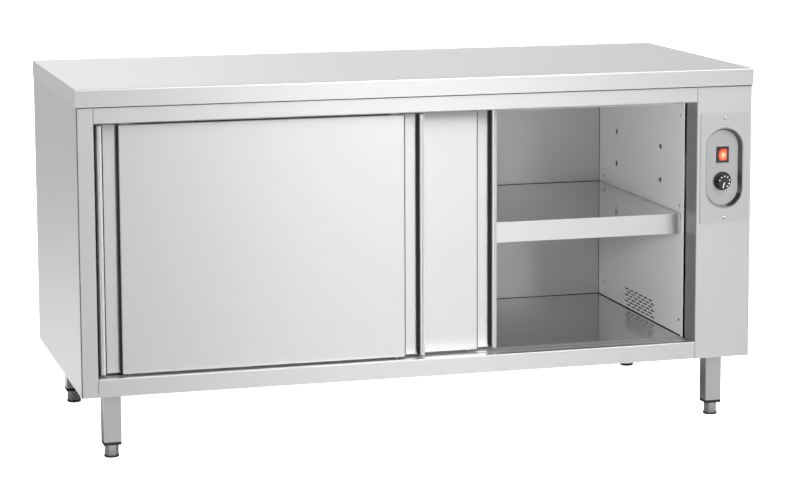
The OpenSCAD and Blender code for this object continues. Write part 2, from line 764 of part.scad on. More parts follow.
// The knob: skirt, fluted grip and the shaft that turns in the thermostat
module control_knob() {
    skirt_h = 4;
    flutes = 12;
    flute_r = 2;
    top_edge = 1.5;
    grip_h = knob_h - knob_gap;
    color(black) translate([plate_x, dish_floor_y, knob_z]) {
        rotate([90, 0, 0]) translate([0, 0, knob_gap]) {
            rotate_extrude($fn = round_fn)
                polygon([[0, 0], [knob_r, 0], [knob_r, skirt_h / 2],
                         [knob_r - skirt_h / 2, skirt_h], [0, skirt_h]]);
            linear_extrude(grip_h - top_edge) difference() {
                circle(knob_grip_r, $fn = round_fn);
                for (a = [0 : 360 / flutes : 359]) rotate(a)
                    translate([knob_grip_r + flute_r / 2, 0]) circle(flute_r, $fn = 16);
            }
            cylinder(r = knob_grip_r - flute_r, h = grip_h, $fn = round_fn);
        }
        translate([0, -knob_gap - eps, 0]) rod_y(knob_shaft_r, knob_gap + sheet + knob_shaft_l);
    }
}

// The thermostat behind the dish, with the bore for the knob's shaft
module thermostat() {
    neck_r = knob_shaft_r + 5;
    neck_l = 4;
    back = sheet;
    color([0.75, 0.74, 0.70]) translate([plate_x, dish_floor_y + back, knob_z]) difference() {
        union() {
            rod_y(neck_r, neck_l);
            translate([0, neck_l, 0]) rod_y(thermostat_r, thermostat_depth - neck_l);
            translate([-4, thermostat_depth - eps, -12]) cube([8, 8, 3]);
            translate([-4, thermostat_depth - eps, 9]) cube([8, 8, 3]);
        }
        translate([0, -eps, 0]) rod_y(knob_shaft_r + fit_gap, knob_shaft_l + 2 * sheet);
    }
}

// The sheet box behind the outlet slots that holds the element and the fan wheel
module heater_box() {
    flange = 10;
    lug_r = element_r + fit_gap;
    color([0.78, 0.78, 0.76]) difference() {
        union() {
            block([heater_x, heater_y0, in_z0], [motor_x, heater_y0 + heater_w, heater_z0 + heater_h]);
            block([heater_x, heater_y0 - flange, in_z0],
                  [heater_x + sheet, heater_y0 + heater_w + flange, heater_z0 + heater_h + flange]);
        }
        block([heater_x - eps, heater_y0 + sheet, in_z0 + sheet],
              [motor_x - sheet, heater_y0 + heater_w - sheet, heater_z0 + heater_h - sheet]);
        translate([motor_x - 2 * sheet, outlet_y, fan_z]) rod_x(shaft_r + 3, 4 * sheet);
        for (z = [0, element_passes - 1])
            translate([motor_x - 2 * sheet, outlet_y + element_run / 2 + 10, element_z + z * element_pitch])
                rod_x(lug_r, 4 * sheet);
    }
}

// A sheathed rod that runs to and fro in front of the fan, with both ends through the box
module heating_element() {
    y1 = outlet_y + element_run / 2;
    y0 = outlet_y - element_run / 2;
    bend = 10;
    color([0.45, 0.42, 0.40]) {
        for (i = [0 : element_passes - 1])
            translate([element_x, y0, element_z + i * element_pitch]) rod_y(element_r, y1 - y0);
        for (i = [0 : element_passes - 2])
            translate([element_x, i % 2 == 0 ? y0 : y1, element_z + (i + 0.5) * element_pitch])
                rotate([0, 90, 0]) rotate([0, 0, i % 2 == 0 ? 180 : 0])
                    rotate_extrude(angle = 180, $fn = round_fn)
                        translate([element_pitch / 2, 0]) circle(element_r, $fn = 16);
        for (i = [0, element_passes - 1]) translate([element_x, y1, element_z + i * element_pitch]) {
            translate([bend, 0, 0]) rotate([0, 0, 0]) rotate([0, 0, 90])
                rotate_extrude(angle = 90, $fn = round_fn) translate([bend, 0]) circle(element_r, $fn = 16);
            translate([bend, bend, 0]) rod_x(element_r, motor_x - element_x - bend + 12);
            translate([motor_x - element_x, bend, 0]) rod_x(element_r + 3, 3);
        }
    }
}

module fan_motor() {
    bolt_tab = 8;
    color([0.35, 0.36, 0.38]) translate([motor_x, outlet_y, fan_z]) difference() {
        union() {
            rod_x(motor_r, motor_l);
            rod_x(motor_r + bolt_tab, 3);
        }
        translate([-eps, 0, 0]) rod_x(shaft_r + fit_gap, motor_l - 6);
    }
}

// The fan wheel: a back disc, leaning blades, a front ring and the shaft
module fan_wheel() {
    disc_t = 1.5;
    ring_w = 8;
    hub_r = 11;
    blade_l = 18;
    blade_t = 1.2;
    lean = 35;
    color([0.60, 0.61, 0.62]) translate([fan_x, outlet_y, fan_z]) {
        difference() {
            union() {
                translate([fan_w - disc_t, 0, 0]) rod_x(fan_r, disc_t);
                rod_x(hub_r, fan_w);
                difference() {
                    rod_x(fan_r, disc_t);
                    translate([-eps, 0, 0]) rod_x(fan_r - ring_w, disc_t + 2 * eps);
                }
                for (i = [0 : fan_blades - 1]) rotate([i * 360 / fan_blades, 0, 0])
                    translate([0, 0, fan_r - blade_l]) rotate([lean, 0, 0])
                        translate([0, 0, -1]) cube([fan_w, blade_t, blade_l * 0.92]);
            }
        }
        rod_x(shaft_r, motor_x - fan_x + motor_l - 8);
    }
}

// The mains cable gland in the rear panel
module cable_gland() {
    nut_r = gland_r + 4;
    nut_t = 5;
    dome_l = 14;
    gland_l = dome_l + nut_t + sheet;
    color(black) translate([gland_x, back_y - gland_l, gland_z]) difference() {
        union() {
            translate([0, dome_l, 0]) rotate([-90, 0, 0]) cylinder(r = nut_r, h = nut_t, $fn = 6);
            rod_y(gland_r - fit_gap, gland_l);
        }
        translate([0, -eps, 0]) rod_y(gland_bore_r, gland_l + 2 * eps);
    }
}

// A square leg tube with a closed top and a bolt hole
module leg(sx, sy) {
    top_t = 4;
    bolt_r = 5.25;
    color(steel) translate([sx * leg_x - leg_w / 2, sy * leg_y - leg_w / 2, 0]) difference() {
        upright(tube_z0, body_z0) round_rect([leg_w, leg_w], 2);
        block([leg_wall, leg_wall, tube_z0 - eps], [leg_w - leg_wall, leg_w - leg_wall, body_z0 - top_t]);
        translate([leg_w / 2, leg_w / 2, body_z0 - top_t - eps])
            cylinder(r = bolt_r, h = top_t + 2 * eps, $fn = round_fn);
    }
}

// Black caps in the lower ends of the legs, each with the nut for its foot
module leg_caps() {
    plug_w = leg_w - 2 * leg_wall - 0.4;
    color(black) for (sx = [-1, 1], sy = [-1, 1]) translate([sx * leg_x, sy * leg_y, tube_z0 - cap_h])
        difference() {
            union() {
                translate([-leg_w / 2, -leg_w / 2, 0]) linear_extrude(cap_h) round_rect([leg_w, leg_w], 2);
                translate([-plug_w / 2, -plug_w / 2, cap_h]) cube([plug_w, plug_w, cap_plug]);
            }
            translate([0, 0, -eps])
                cylinder(r = stem_r + fit_gap, h = cap_h + cap_plug + 2 * eps, $fn = round_fn);
        }
}

// A hexagonal foot with its stem
module foot(sx, sy) color([0.66, 0.67, 0.68]) translate([sx * leg_x, sy * leg_y, pad_t]) {
    cylinder(d = foot_d, h = foot_h, $fn = 6);
    translate([0, 0, foot_h]) cylinder(r = stem_r, h = stem_l, $fn = round_fn);
}

module foot_pad(sx, sy) {
    lip = 1.5;
    color(black) translate([sx * leg_x, sy * leg_y, 0]) rotate_extrude($fn = round_fn)
        polygon([[0, 0], [pad_r - lip, 0], [pad_r, lip], [pad_r, pad_t], [0, pad_t]]);
}

front_at = [front_door_x, door_y, 0];
rear_at = [rear_door_x, door_y + lane, 0];

worktop();
worktop_core();
side_panel(-1);  // side_panel_left
side_panel(1);  // side_panel_right
rear_panel();
base_pan();
front_stile();
control_column();
top_rail();
bottom_rail();
inner_wall_left();
inner_wall_right();
inner_wall_back();
ceiling();
deck();
insulation();
shelf();
shelf_pegs();
door_track();
bottom_track();
door_panel(front_at);  // front_door_panel
door_core(front_at);  // front_door_core
handle_left(front_at);  // front_door_handle_left
handle_right(front_at);  // front_door_handle_right
door_grips(front_at);  // front_door_grips
door_hangers(front_at);  // front_door_hangers
door_roller(front_at, hanger_inset);  // front_door_roller_left
door_roller(front_at, door_w - hanger_inset);  // front_door_roller_right
door_panel(rear_at);  // rear_door_panel
door_core(rear_at);  // rear_door_core
handle_left(rear_at);  // rear_door_handle_left
handle_right(rear_at);  // rear_door_handle_right
door_grips(rear_at);  // rear_door_grips
door_hangers(rear_at);  // rear_door_hangers
door_roller(rear_at, hanger_inset);  // rear_door_roller_left
door_roller(rear_at, door_w - hanger_inset);  // rear_door_roller_right
control_plate();
plate_screws();
switch_body();
switch_rocker();
control_knob();
thermostat();
heater_box();
heating_element();
fan_motor();
fan_wheel();
cable_gland();
leg(-1, -1);  // leg_front_left
leg(1, -1);  // leg_front_right
leg(-1, 1);  // leg_back_left
leg(1, 1);  // leg_back_right
leg_caps();
foot(-1, -1);  // foot_front_left
foot(1, -1);  // foot_front_right
foot(-1, 1);  // foot_back_left
foot(1, 1);  // foot_back_right
foot_pad(-1, -1);  // foot_pad_front_left
foot_pad(1, -1);  // foot_pad_front_right
foot_pad(-1, 1);  // foot_pad_back_left
foot_pad(1, 1);  // foot_pad_back_right
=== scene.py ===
# %% [markdown]
# # Dressing a plate warmer cabinet
#
# The cabinet itself comes from its CAD model: every folded sheet, door, roller and foot
# is already in place, in metres, with the floor at z = 0 and the doors facing -Y.
# In this lesson we give each sheet its finish, add the small hardware that catches the
# eye, and light the whole thing like a catalogue picture. We only load the frame here.

# %% Load the fixed frame
import math

import bpy
import bmesh
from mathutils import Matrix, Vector


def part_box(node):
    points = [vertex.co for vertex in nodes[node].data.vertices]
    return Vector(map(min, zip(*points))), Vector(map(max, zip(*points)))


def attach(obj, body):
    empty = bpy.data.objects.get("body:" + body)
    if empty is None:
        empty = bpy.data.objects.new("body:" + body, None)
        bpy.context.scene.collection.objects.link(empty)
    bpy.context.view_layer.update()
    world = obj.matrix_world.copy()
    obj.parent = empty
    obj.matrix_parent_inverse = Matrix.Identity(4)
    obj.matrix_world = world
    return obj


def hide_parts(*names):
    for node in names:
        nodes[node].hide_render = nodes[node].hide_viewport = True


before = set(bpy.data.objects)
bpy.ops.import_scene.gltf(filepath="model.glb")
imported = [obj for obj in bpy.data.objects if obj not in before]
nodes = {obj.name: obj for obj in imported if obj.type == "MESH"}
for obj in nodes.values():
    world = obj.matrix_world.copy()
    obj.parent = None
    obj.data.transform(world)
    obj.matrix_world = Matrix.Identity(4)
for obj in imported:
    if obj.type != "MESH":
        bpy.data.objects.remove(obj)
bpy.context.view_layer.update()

# %% [markdown]
# ## The camera
#
# The picture was taken from the left and a little above, with a long lens. The numbers
# come from fitting a camera to the corners of the worktop, body and legs in an
# 800 by 482 picture. A long lens keeps the verticals nearly parallel, and a small
# vertical shift does the rest, so the legs do not lean.

# %% Camera at the picture's viewing angle
camera_data = bpy.data.cameras.new("picture_camera")
camera_data.lens = 116.9617
camera_data.shift_x = -0.05976
camera_data.shift_y = -0.09
camera = bpy.data.objects.new("picture_camera", camera_data)
camera.location = (-1.6226, -5.9846, 1.4520)
look_down, roll, turn_right = 7.9534, 0.0868, 16.5261
camera.rotation_euler = [math.radians(v) for v in (90 - look_down, roll, -turn_right)]
bpy.context.collection.objects.link(camera)
bpy.context.scene.camera = camera
print("lens", camera_data.lens, "at", tuple(round(v, 3) for v in camera.location))

# %% [markdown]
# ## Helpers for node materials
#
# Every finish below is a small node tree. They all start from Object coordinates: the
# CAD pieces sit at the origin with their place in the mesh, so one pattern runs on from
# sheet to sheet at its real size. These helpers save typing: `add` makes a node and sets
# its values, and `new_finish` hands back an empty material with its shader.

# %% Material helpers
def add(tree, kind, values=(), **settings):
    """One node, with its settings and its input values."""
    node = tree.nodes.new(kind)
    for name, value in settings.items():
        setattr(node, name, value)
    for name, value in dict(values).items():
        node.inputs[name].default_value = value
    return node


def new_finish(name, colour, metallic, roughness):
    """A material with one Principled shader, and the tree to add detail to."""
    material = bpy.data.materials.new(name)
    material.use_nodes = True
    material.diffuse_color = (*colour, 1)
    tree = material.node_tree
    tree.nodes.clear()
    shader = add(tree, "ShaderNodeBsdfPrincipled")
    shader.inputs["Base Color"].default_value = (*colour, 1)
    shader.inputs["Metallic"].default_value = metallic
    shader.inputs["Roughness"].default_value = roughness
    out = add(tree, "ShaderNodeOutputMaterial")
    tree.links.new(shader.outputs["BSDF"], out.inputs["Surface"])
    return material, tree, shader


def object_noise(tree, stretch, detail=3.0, roughness=0.5):
    """Noise on Object coordinates, scaled apart along X, Y and Z."""
    place = add(tree, "ShaderNodeTexCoord")
    mapping = add(tree, "ShaderNodeMapping", {"Scale": stretch})
    noise = add(tree, "ShaderNodeTexNoise",
                {"Scale": 1.0, "Detail": detail, "Roughness": roughness})
    tree.links.new(place.outputs["Object"], mapping.inputs["Vector"])
    tree.links.new(mapping.outputs["Vector"], noise.inputs["Vector"])
    return noise


def spread(tree, source, low, high, socket, from_low=0.3, from_high=0.7):
    """Maps a 0 to 1 pattern to low..high and plugs it into a socket."""
    ramp = add(tree, "ShaderNodeMapRange", {"From Min": from_low, "From Max": from_high,
                                           "To Min": low, "To Max": high})
    tree.links.new(source.outputs[0], ramp.inputs["Value"])
    tree.links.new(ramp.outputs["Result"], socket)


def tinted(tree, source, dark, light, socket):
    """Blends two colours by a pattern."""
    mix = add(tree, "ShaderNodeMix", data_type="RGBA")
    mix.inputs["A"].default_value = (*dark, 1)
    mix.inputs["B"].default_value = (*light, 1)
    tree.links.new(source.outputs[0], mix.inputs["Factor"])
    tree.links.new(mix.outputs["Result"], socket)


def bumped(tree, source, shader, strength, distance):
    """Turns a pattern into a fine relief."""
    bump = add(tree, "ShaderNodeBump", {"Strength": strength, "Distance": distance})
    tree.links.new(source.outputs[0], bump.inputs["Height"])
    tree.links.new(bump.outputs["Normal"], shader.inputs["Normal"])


print("helpers ready")

# %% [markdown]
# ## Satin stainless sheet
#
# The outside of the cabinet is ground stainless steel. Thousands of fine scratches run
# one way, so a reflection stays sharp along them and smears across them. That is what
# Anisotropic does on the shader. A very long, thin noise varies the roughness like real
# grinding marks, a slow noise adds the faint clouding of a wiped sheet, and a little
# bump keeps the highlight alive close up. The marks run along X on the worktop and
# the front, and upright on the ends and the legs, so one axis letter sets them.

# %% Satin steel
LONG_MARK, FINE_MARK = 6, 1600
OUTSIDE = (0.80, 0.805, 0.81)


def satin_steel(name, axis, colour=OUTSIDE, roughness=0.29, one_way=0.9):
    """Steel ground along one axis, "X", "Y" or "Z"."""
    material, tree, shader = new_finish(name, colour, 1.0, roughness)
    shader.inputs["Anisotropic"].default_value = one_way
    shader.inputs["Anisotropic Rotation"].default_value = 0.25
    grain_line = add(tree, "ShaderNodeCombineXYZ", {axis: 1.0})
    tree.links.new(grain_line.outputs["Vector"], shader.inputs["Tangent"])
    grain = [LONG_MARK if letter == axis else FINE_MARK for letter in "XYZ"]
    scratches = object_noise(tree, grain, detail=4.0, roughness=0.7)
    spread(tree, scratches, roughness - 0.015, roughness + 0.015, shader.inputs["Roughness"])
    clouding = object_noise(tree, (1.3, 1.1, 1.7), detail=2.0)
    darker = tuple(c * 0.975 for c in colour)
    tinted(tree, clouding, darker, colour, shader.inputs["Base Color"])
    bumped(tree, scratches, shader, 0.02, 0.0001)
    return material


steel_along = satin_steel("satin_steel_along", "X")
steel_upright = satin_steel("satin_steel_upright", "Z")
steel_tube = satin_steel("satin_steel_tube", "Z", (0.88, 0.885, 0.89), 0.34, 0.2)
steel_top = satin_steel("satin_steel_top", "X", OUTSIDE, 0.20, 0.4)
steel_plate = satin_steel("satin_steel_plate", "X", (0.76, 0.765, 0.77), 0.30, 0.8)
print("satin steel:", [m.name for m in (steel_along, steel_upright, steel_tube, steel_top,
                                        steel_plate)])

# %% [markdown]
# ## Bright lining steel
#
# Inside, the sheets keep the smooth rolled finish of the mill. They mirror each other,
# which is why the shelf shows the back wall in it. The shader has a low roughness with
# a faint rolled pattern. The shelf and the deck are the smoothest and the back wall is
# rougher. Each kind of sheet has its own tone, which is painted light and shade: one
# steel, made lighter where the inside catches light and darker where it lies in shade.
# The side walls are painted the lightest, the returns and the bottom track the darkest.

# %% Lining steel
def lining_steel(name, colour, roughness, metallic):
    material, tree, shader = new_finish(name, colour, metallic, roughness)
    rolled = object_noise(tree, (240, 240, 30), detail=3.0)
    spread(tree, rolled, roughness * 0.95, roughness * 1.08, shader.inputs["Roughness"])
    wiped = object_noise(tree, (2.2, 2.2, 2.2), detail=2.0)
    tinted(tree, wiped, tuple(c * 0.96 for c in colour), colour, shader.inputs["Base Color"])
    return material


lining_wall = lining_steel("lining_wall", (0.555, 0.565, 0.56), 0.36, 0.85)
lining_deck = lining_steel("lining_deck", (0.54, 0.55, 0.545), 0.11, 0.95)
# The darkest copy of the lining: painted shade.
lining_return = lining_steel("lining_return", (0.34, 0.34, 0.335), 0.30, 0.70)
# The lightest copy of the lining: painted light, as if lit through the opening.
lining_side = lining_steel("lining_side", (0.80, 0.79, 0.78), 0.20, 0.4)
lining_shelf = lining_steel("lining_shelf", (0.64, 0.645, 0.64), 0.08, 1.0)
print("lining steel:", [m.name for m in (lining_wall, lining_deck, lining_return, lining_side,
                                         lining_shelf)])

# %% [markdown]
# ## Other metals
#
# The door track is plain extruded aluminium with faint die lines along it. Screws,
# hangers and feet are zinc plated, a bluish bright metal with a fine mottle. The fan
# wheel, the thermostat and the heater box are galvanised sheet. The box is painted
# very dark, as painted shade, so that the slots in the wall in front of it look dark.
# The zinc crystals, the spangle, are a Voronoi pattern. The heating element is steel
# that heat has browned.

# %% Aluminium, zinc, galvanised sheet and the element
def die_lined_metal(name, colour, stretch, roughness):
    material, tree, shader = new_finish(name, colour, 1.0, roughness)
    lines = object_noise(tree, stretch, detail=2.0)
    spread(tree, lines, roughness - 0.05, roughness + 0.08, shader.inputs["Roughness"])
    tinted(tree, lines, tuple(c * 0.9 for c in colour), colour, shader.inputs["Base Color"])
    bumped(tree, lines, shader, 0.1, 0.0002)
    return material


def spangled_metal(name, colour, cell):
    material, tree, shader = new_finish(name, colour, 1.0, 0.38)
    place = add(tree, "ShaderNodeTexCoord")
    crystals = add(tree, "ShaderNodeTexVoronoi", {"Scale": 1 / cell})
    tree.links.new(place.outputs["Object"], crystals.inputs["Vector"])
    grey = add(tree, "ShaderNodeRGBToBW")
    tree.links.new(crystals.outputs["Color"], grey.inputs["Color"])
    tinted(tree, grey, tuple(c * 0.78 for c in colour), colour, shader.inputs["Base Color"])
    spread(tree, grey, 0.28, 0.5, shader.inputs["Roughness"], 0.0, 1.0)
    return material


aluminium = die_lined_metal("extruded_aluminium", (0.70, 0.71, 0.72), (3, 900, 900), 0.34)
zinc_plate = die_lined_metal("zinc_plate", (0.84, 0.85, 0.87), (260, 260, 260), 0.26)
crystal = 0.012
galvanised = spangled_metal("galvanised_sheet", (0.68, 0.69, 0.69), crystal)
# Painted shade: the heater box is darkened so the vent slots in front of it look dark.
heater_box_painted_shade = spangled_metal("galvanised_duct", (0.20, 0.20, 0.20), crystal)
browned = die_lined_metal("browned_sheath", (0.34, 0.29, 0.25), (60, 60, 60), 0.42)
print("metals:", [m.name for m in (aluminium, zinc_plate, galvanised, heater_box_painted_shade, browned)])

# %% [markdown]
# ## Plastics, rubber, paint, board and wool
#
# The caps and knob are black nylon with a fine eroded grain. The grips along the walls
# of the handle recesses are near black and matt, with the same grain: painted shade,
# standing for the deep shade in the recesses. The feet stand on matt rubber, the rollers
# are white nylon, and the motor is painted. Chipboard under the worktop and mineral
# wool in the walls show as a hairline between sheets at most, but they get their own
# finish too.

# %% Non-metal finishes
def moulded(name, colour, roughness, grain, strength):
    material, tree, shader = new_finish(name, colour, 0.0, roughness)
    eroded = object_noise(tree, (grain, grain, grain), detail=2.0)
    spread(tree, eroded, roughness - 0.05, roughness + 0.08, shader.inputs["Roughness"])
    tinted(tree, eroded, tuple(c * 0.85 for c in colour), colour, shader.inputs["Base Color"])
    bumped(tree, eroded, shader, strength, 0.0002)
    return material


black_nylon = moulded("black_nylon", (0.010, 0.010, 0.011), 0.42, 1800, 0.15)
# Painted shade: the near-black grips stand for the deep shade in the handle recesses.
black_grip = moulded("black_grip", (0.004, 0.004, 0.0042), 0.62, 1500, 0.15)
black_rubber = moulded("black_rubber", (0.016, 0.016, 0.016), 0.75, 900, 0.25)
white_nylon = moulded("white_nylon", (0.78, 0.78, 0.74), 0.40, 1200, 0.08)
motor_paint = moulded("motor_paint", (0.055, 0.058, 0.064), 0.48, 600, 0.20)
white_ink = moulded("white_ink", (0.85, 0.85, 0.84), 0.55, 2000, 0.05)


def flecked(name, dark, light, cell, strength):
    material, tree, shader = new_finish(name, light, 0.0, 0.85)
    flecks = object_noise(tree, (cell, cell * 0.6, cell * 1.3), detail=5.0, roughness=0.75)
    tinted(tree, flecks, dark, light, shader.inputs["Base Color"])
    bumped(tree, flecks, shader, strength, 0.001)
    return material


chipboard = flecked("chipboard", (0.085, 0.075, 0.065), (0.20, 0.185, 0.165), 320, 0.4)
mineral_wool = flecked("mineral_wool", (0.13, 0.125, 0.115), (0.27, 0.26, 0.24), 420, 0.9)
print("non-metals:", [m.name for m in (black_nylon, black_grip, black_rubber, white_nylon,
                                       motor_paint, white_ink, chipboard, mineral_wool)])

# %% [markdown]
# ## The lit rocker
#
# The switch is on, and a small lamp glows behind clear red plastic. The glow is
# strongest a little right of the middle and below it, and it has faded to black at the
# left and upper edges. So a soft round gradient runs through a colour ramp, from black
# over deep red and orange to a warm yellow, and the ramp drives the emission colour.

# %% Lit red plastic
def lit_red(name, centre, reach):
    material, tree, shader = new_finish(name, (0.62, 0.05, 0.02), 0.0, 0.22)
    shader.inputs["Coat Weight"].default_value = 0.4
    shader.inputs["Emission Strength"].default_value = 0.8
    place = add(tree, "ShaderNodeTexCoord")
    mapping = add(tree, "ShaderNodeMapping", {"Location": [-c / r for c, r in zip(centre, reach)],
                                              "Scale": [1 / r for r in reach]})
    glow = add(tree, "ShaderNodeTexGradient", gradient_type="QUADRATIC_SPHERE")
    tree.links.new(place.outputs["Object"], mapping.inputs["Vector"])
    tree.links.new(mapping.outputs["Vector"], glow.inputs["Vector"])
    colours = add(tree, "ShaderNodeValToRGB")
    stops = colours.color_ramp.elements
    stops[0].color = (0.0, 0.0, 0.0, 1)
    stops[1].color = (1.0, 0.80, 0.42, 1)
    stops[1].position = 0.75
    for at, colour in ((0.045, (0.30, 0.015, 0.008, 1)), (0.12, (0.85, 0.06, 0.02, 1)),
                       (0.38, (1.0, 0.22, 0.06, 1))):
        stops.new(at).color = colour
    tree.links.new(glow.outputs["Fac"], colours.inputs["Fac"])
    tree.links.new(colours.outputs["Color"], shader.inputs["Emission Color"])
    tinted(tree, glow, (0.02, 0.012, 0.012), (0.75, 0.06, 0.02), shader.inputs["Base Color"])
    return material


switch_low, switch_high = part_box("switch_rocker")
switch_middle = [(a + b) / 2 for a, b in zip(switch_low, switch_high)]
glow_shift = (0.0015, 0.0, -0.001)
glow_reach = (0.0165, 0.03, 0.0215)
glow_centre = [middle + shift for middle, shift in zip(switch_middle, glow_shift)]
red_lens = lit_red("lit_red_lens", glow_centre, glow_reach)
print("rocker centre:", [round(v, 4) for v in switch_middle])

# %% [markdown]
# ## Handing out the finishes
#
# Each CAD node keeps its mesh; we only fill its material slots. Listing the nodes by
# name makes it easy to see that none is forgotten: the last line prints what is left.

# %% Finish for each CAD node
finishes = {
    steel_top: ["worktop"],
    steel_plate: ["control_plate"],
    steel_along: ["front_stile", "control_column", "top_rail", "bottom_rail",
                  "front_door_panel", "rear_door_panel", "base_pan", "rear_panel",
                  "front_door_handle_left", "front_door_handle_right",
                  "rear_door_handle_left", "rear_door_handle_right"],
    steel_upright: ["side_panel_left", "side_panel_right"],
    steel_tube: ["leg_front_left", "leg_front_right", "leg_back_left", "leg_back_right"],
    lining_wall: ["inner_wall_back", "ceiling"],
    lining_deck: ["deck"],
    # the darkest lining tone, painted shade
    lining_return: ["bottom_track"],
    # the lightest lining tone, painted light
    lining_side: ["inner_wall_left", "inner_wall_right"],
    lining_shelf: ["shelf"],
    aluminium: ["door_track"],
    zinc_plate: ["shelf_pegs", "front_door_hangers", "rear_door_hangers", "plate_screws",
                 "foot_front_left", "foot_front_right", "foot_back_left", "foot_back_right"],
    galvanised: ["fan_wheel", "thermostat"],
    # painted shade behind the vent slots
    heater_box_painted_shade: ["heater_box"],
    browned: ["heating_element"],
    motor_paint: ["fan_motor"],
    white_nylon: ["front_door_roller_left", "front_door_roller_right",
                  "rear_door_roller_left", "rear_door_roller_right"],
    black_nylon: ["switch_body", "control_knob", "cable_gland", "leg_caps"],
    # painted shade in the handle recesses
    black_grip: ["front_door_grips", "rear_door_grips"],
    black_rubber: ["foot_pad_front_left", "foot_pad_front_right",
                   "foot_pad_back_left", "foot_pad_back_right"],
    red_lens: ["switch_rocker"],
    chipboard: ["worktop_core"],
    mineral_wool: ["insulation", "front_door_core", "rear_door_core"],
}
dressed = set()
for material, names in finishes.items():
    for name in names:
        mesh = nodes[name].data
        mesh.materials.clear()
        mesh.materials.append(material)
        for polygon in mesh.polygons:
            polygon.material_index = 0
        dressed.add(name)
print("dressed", len(dressed), "of", len(nodes), "left over:", sorted(set(nodes) - dressed))

# %% [markdown]
# ## A second material on some faces
#
# Some faces get a material of their own: some a different finish, others painted shade
# where a sheet is folded or pressed. `repaint` adds a material to a node and gives it to
# the faces that a small test picks, by where they look (the normal `n`) and where they
# lie (the centre `c`). The shape itself is not touched.

# %% Repaint chosen faces
def repaint(name, material, chosen):
    """Adds a material to a node and gives it to the faces that the test picks."""
    mesh = nodes[name].data
    mesh.materials.append(material)
    slot = len(mesh.materials) - 1
    picked = [p for p in mesh.polygons if chosen(p.normal, p.center)]
    for polygon in picked:
        polygon.material_index = slot
    print("%-26s %-20s %d faces" % (name, material.name, len(picked)))


print("repaint ready")

# %% [markdown]
# The pressed dish of the control plate gets painted shade and painted reflection: its
# wall is painted dark and dull for the dark that it mirrors, its floor a little darker
# than the plate, and the lower end of its wall darker still.

# %% The pressed dish
# Painted shade: a dark dish wall, a darker floor and a near-black lower wall.
dish_wall_shade = satin_steel("satin_steel_drawn", "Y", (0.34, 0.342, 0.345), 0.36, 0.2)
dish_floor_shade = satin_steel("satin_steel_dish", "X", (0.66, 0.665, 0.67), 0.30, 0.8)
dish_sole_shade = satin_steel("satin_steel_sole", "Y", (0.15, 0.15, 0.152), 0.40, 0.2)
facing_front = 0.98     # faces that look ahead more than this are flats, not wall
plate_face_y = -0.3462  # a hair behind the front of the plate
floor_y = -0.34         # the dish floor lies behind this


def on_dish_wall(n, c):
    return abs(n.y) < facing_front and c.y > plate_face_y


repaint("control_plate", dish_wall_shade, on_dish_wall)
repaint("control_plate", dish_floor_shade, lambda n, c: n.y < -facing_front and c.y > floor_y)
repaint("control_plate", dish_sole_shade, lambda n, c: on_dish_wall(n, c) and n.z > 0.3)

# %% [markdown]
# The inner return of the control column is lined like the inside, in the darkest
# lining tone, which is painted shade. The bends of the worktop and of the rail below
# the doors get a rougher steel that is painted half as bright as the flats: without
# that, a bend would collect every bright thing in the room into one white line. That
# darker colour is painted shade. On the faces at their front left corner it also
# paints the dark line that the corner mirrors.

# %% Returns and folds
# Painted shade: bends half as bright as the flats, and the dark line at the left corner.
fold_shade_steel = satin_steel("satin_steel_fold", "X", (0.40, 0.402, 0.405), 0.38, 0.3)


def left_corner(n):
    return n.x < -0.25 and n.y < -0.25


repaint("control_column", lining_return, lambda n, c: n.x < -0.5)
repaint("bottom_rail", fold_shade_steel, lambda n, c: n.z > 0.2 or left_corner(n))
repaint("worktop", fold_shade_steel, lambda n, c: (n.z > 0.2 and n.y < -0.2) or left_corner(n))

# %% [markdown]
# The sides of the handles are dull, so a little soft light shows in the finger channels.
# The front faces of the shelf and the worktop are ground like the doors.

# %% Handle sides and front faces
handle_side = lining_steel("handle_side", (0.50, 0.503, 0.507), 0.42, 0.50)
for door in ("front_door", "rear_door"):
    for end in ("left", "right"):
        repaint("%s_handle_%s" % (door, end), handle_side,
                lambda n, c: abs(n.x) > 0.35 and n.y < 0.2)
shelf_front, worktop_front = -0.2, -0.3
repaint("shelf", steel_along, lambda n, c: n.y < -0.97 and c.y < shelf_front)
repaint("worktop", steel_along, lambda n, c: n.y < -0.97 and c.y < worktop_front)

# %% [markdown]
# ## Building repeats with Geometry Nodes
#
# Wall fixings, beads, screws and dial dots repeat along a simple rule, so each set is
# one Geometry Nodes tree with named inputs for its sizes. `new_group` makes the group,
# `put_in_place` and `close_group` end it. `run_group` adds the modifier, sets each input
# by the socket's identifier, evaluates the result into a plain mesh, and removes the
# modifier again, so that what rides on the cabinet is an ordinary object at the origin.

# %% Geometry Nodes helpers
PLACING = [("Place", "Vector", (0, 0, 0)), ("Turn", "Vector", (0, 0, 0))]


def new_group(name, inputs):
    """An empty geometry group with named inputs, its input node and its output node."""
    group = bpy.data.node_groups.new(name, "GeometryNodeTree")
    group.interface.new_socket("Geometry", in_out="OUTPUT", socket_type="NodeSocketGeometry")
    for label, kind, value in inputs:
        socket = group.interface.new_socket(label, in_out="INPUT",
                                            socket_type="NodeSocket" + kind)
        socket.default_value = value
    group.interface.new_socket("Material", in_out="INPUT", socket_type="NodeSocketMaterial")
    start = group.nodes.new("NodeGroupInput")
    end = group.nodes.new("NodeGroupOutput")
    return group, start, end


def put_in_place(group, start, geometry):
    """Turns and moves a result by the inputs Turn and Place."""
    put = add(group, "GeometryNodeTransform")
    group.links.new(geometry, put.inputs["Geometry"])
    group.links.new(start.outputs["Place"], put.inputs["Translation"])
    group.links.new(start.outputs["Turn"], put.inputs["Rotation"])
    return put.outputs["Geometry"]


